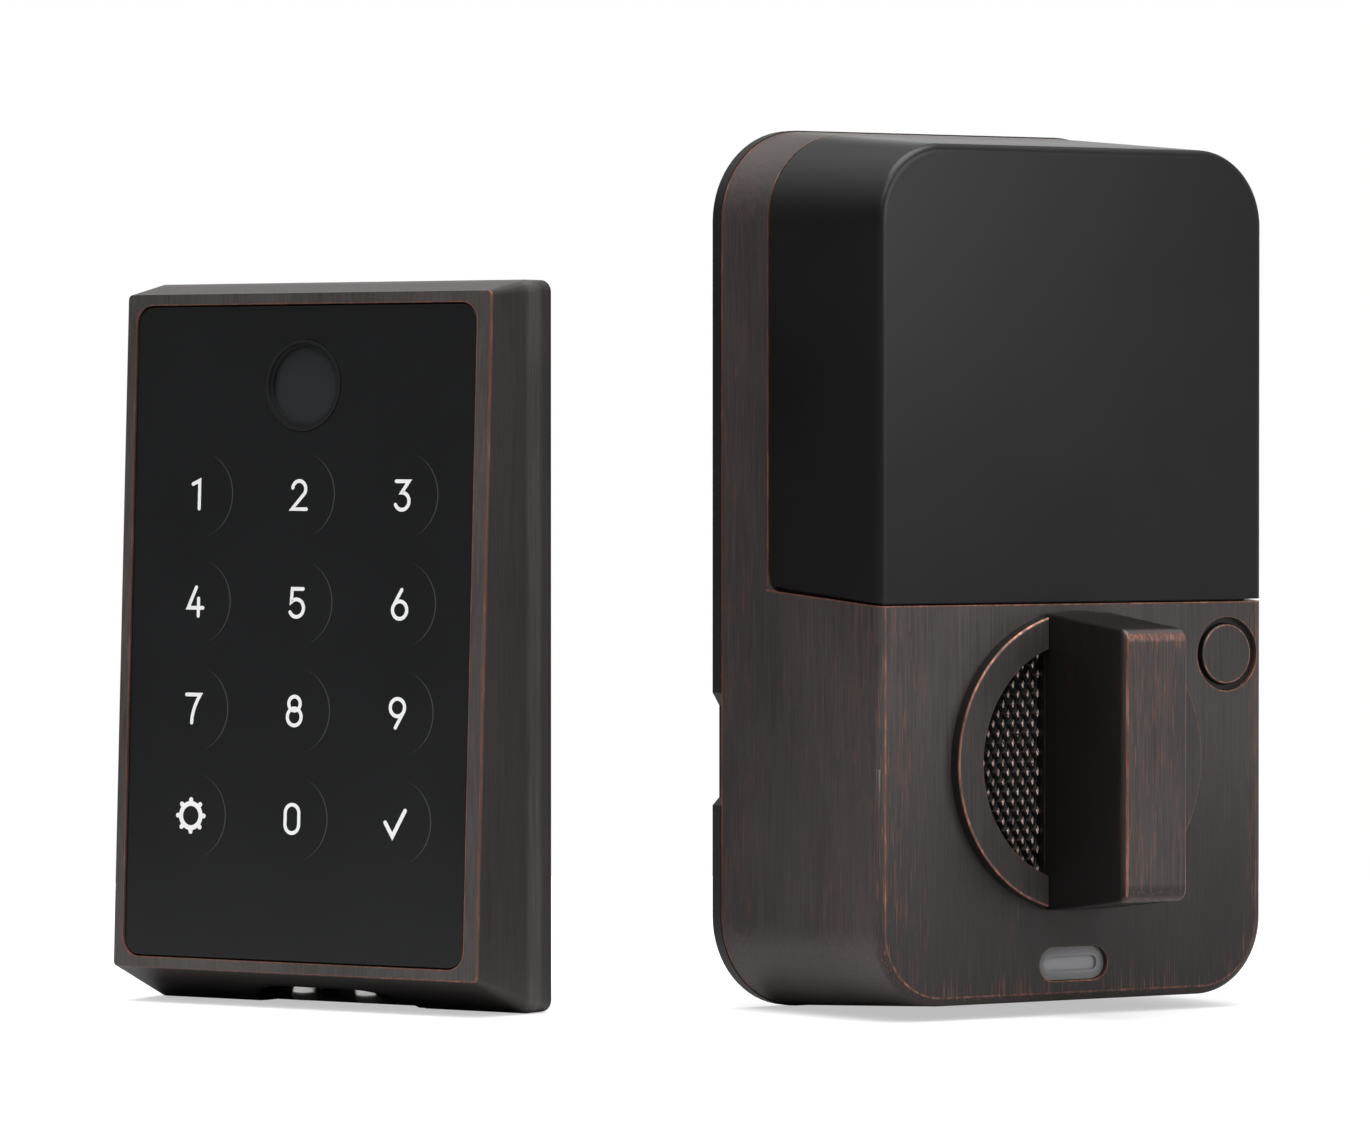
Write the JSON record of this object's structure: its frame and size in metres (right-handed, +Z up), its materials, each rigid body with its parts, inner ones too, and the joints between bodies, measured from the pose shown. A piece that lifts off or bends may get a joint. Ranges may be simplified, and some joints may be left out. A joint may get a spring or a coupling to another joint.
{
  "type": "keypad smart lock",
  "caption": "Electronic door lock in two units: an interior box with thumb-turn, battery bay and motor drive, and a slim exterior touch keypad with a fingerprint sensor.",
  "frame": {"origin": "thumb-turn and tailpiece axis of the interior unit, on its door-side plane", "axes": "+Y out of the interior unit's back into the door, +Z up, +X to the right seen from the room"},
  "size_m": [0.1551, 0.1427, 0.1426],
  "materials": {
    "bronze": "oil-rubbed bronze, satin, worn copper edges",
    "dark_bronze": "oil-rubbed bronze, dark",
    "cover_plastic": "satin",
    "black_plastic": "matte",
    "black_steel": "black powder coat",
    "zinc_steel": "zinc plated",
    "gear_nylon": "natural nylon",
    "brass": "machined",
    "contact_metal": "nickel plated",
    "cell_wrap": "printed film, plain",
    "circuit_board": "solder mask",
    "chip_black": "moulded",
    "black_glass": "satin black",
    "sensor_glass": "satin",
    "smoke_lens": "translucent",
    "diffuser": "milky",
    "gasket_rubber": "matte"
  },
  "bodies": {
    "interior_unit": {"interior_housing": "bronze", "mounting_plate": "black_steel", "housing_screws": "zinc_steel", "battery_tray": "black_plastic", "aa_cells": "cell_wrap", "battery_contacts": "contact_metal", "main_circuit_board": "circuit_board", "board_components": "chip_black", "cable_socket_interior": "black_plastic", "switch_circuit_board": "circuit_board", "tact_switch": "black_plastic", "button_sleeve": "black_plastic", "button_spring": "contact_metal", "status_lens": "smoke_lens", "status_leds": "diffuser", "motor": "zinc_steel", "idler_axle": "zinc_steel", "gearbox_plate": "zinc_steel", "gearbox_cover": "zinc_steel", "gearbox_spacers": "zinc_steel", "gearbox_screws": "zinc_steel", "spindle_bushings": "brass"},
    "thumbturn": {"thumbturn_disc": "bronze", "thumbturn_grip": "bronze", "knurled_insert": "dark_bronze", "thumbturn_screws": "zinc_steel", "spindle": "zinc_steel", "drive_gear": "gear_nylon", "drive_pin": "zinc_steel"},
    "reduction_gear": {"reduction_gear": "gear_nylon"},
    "motor_pinion": {"motor_pinion": "brass"},
    "privacy_button": {"privacy_button": "bronze"},
    "battery_cover": {"battery_cover": "cover_plastic"},
    "keypad_unit": {"keypad_housing": "bronze", "glass_gasket": "gasket_rubber", "glass_panel": "black_glass", "light_guide": "diffuser", "touch_circuit_board": "circuit_board", "keypad_components": "chip_black", "fingerprint_ring": "dark_bronze", "fingerprint_sensor": "sensor_glass", "keypad_back_cover": "black_steel", "threaded_posts": "zinc_steel", "door_gasket": "gasket_rubber", "keypad_screws": "zinc_steel", "cable_socket_keypad": "black_plastic", "contact_block": "black_plastic", "battery_terminals": "contact_metal"}
  },
  "joints": [
    {"name": "thumbturn_turn", "type": "hinge", "parent": "interior_unit", "child": "thumbturn", "pos_m": [0, -0.02, 0], "axis": [0, 1, 0], "range_deg": [-90, 90]},
    {"name": "reduction_gear_turn", "type": "hinge", "parent": "interior_unit", "child": "reduction_gear", "pos_m": [-0.0175, -0.014, 0.0079], "axis": [0, 1, 0], "range_deg": [-275, 275]},
    {"name": "motor_pinion_turn", "type": "hinge", "parent": "interior_unit", "child": "motor_pinion", "pos_m": [-0.00227, -0.018, 0.015], "axis": [0, 1, 0], "range_deg": [-690, 690]},
    {"name": "privacy_button_press", "type": "slide", "parent": "interior_unit", "child": "privacy_button", "axis": [0, 1, 0], "range_m": [0, 0.001], "stiffness_N_per_m": 300, "springref_m": -0.002, "deforming": ["button_spring"]},
    {"name": "battery_cover_lift", "type": "slide", "parent": "interior_unit", "child": "battery_cover", "axis": [0, 0, 1], "range_m": [0, 0.076]},
    {"name": "keypad_unit_lift", "type": "slide", "parent": "interior_unit", "child": "keypad_unit", "axis": [0, 0, 1], "range_m": [0, 0.15]}
  ],
  "couplings": [
    {"joint": "reduction_gear_turn", "follows": "thumbturn_turn", "ratio": -3},
    {"joint": "motor_pinion_turn", "follows": "thumbturn_turn", "ratio": 7.5}
  ]
}
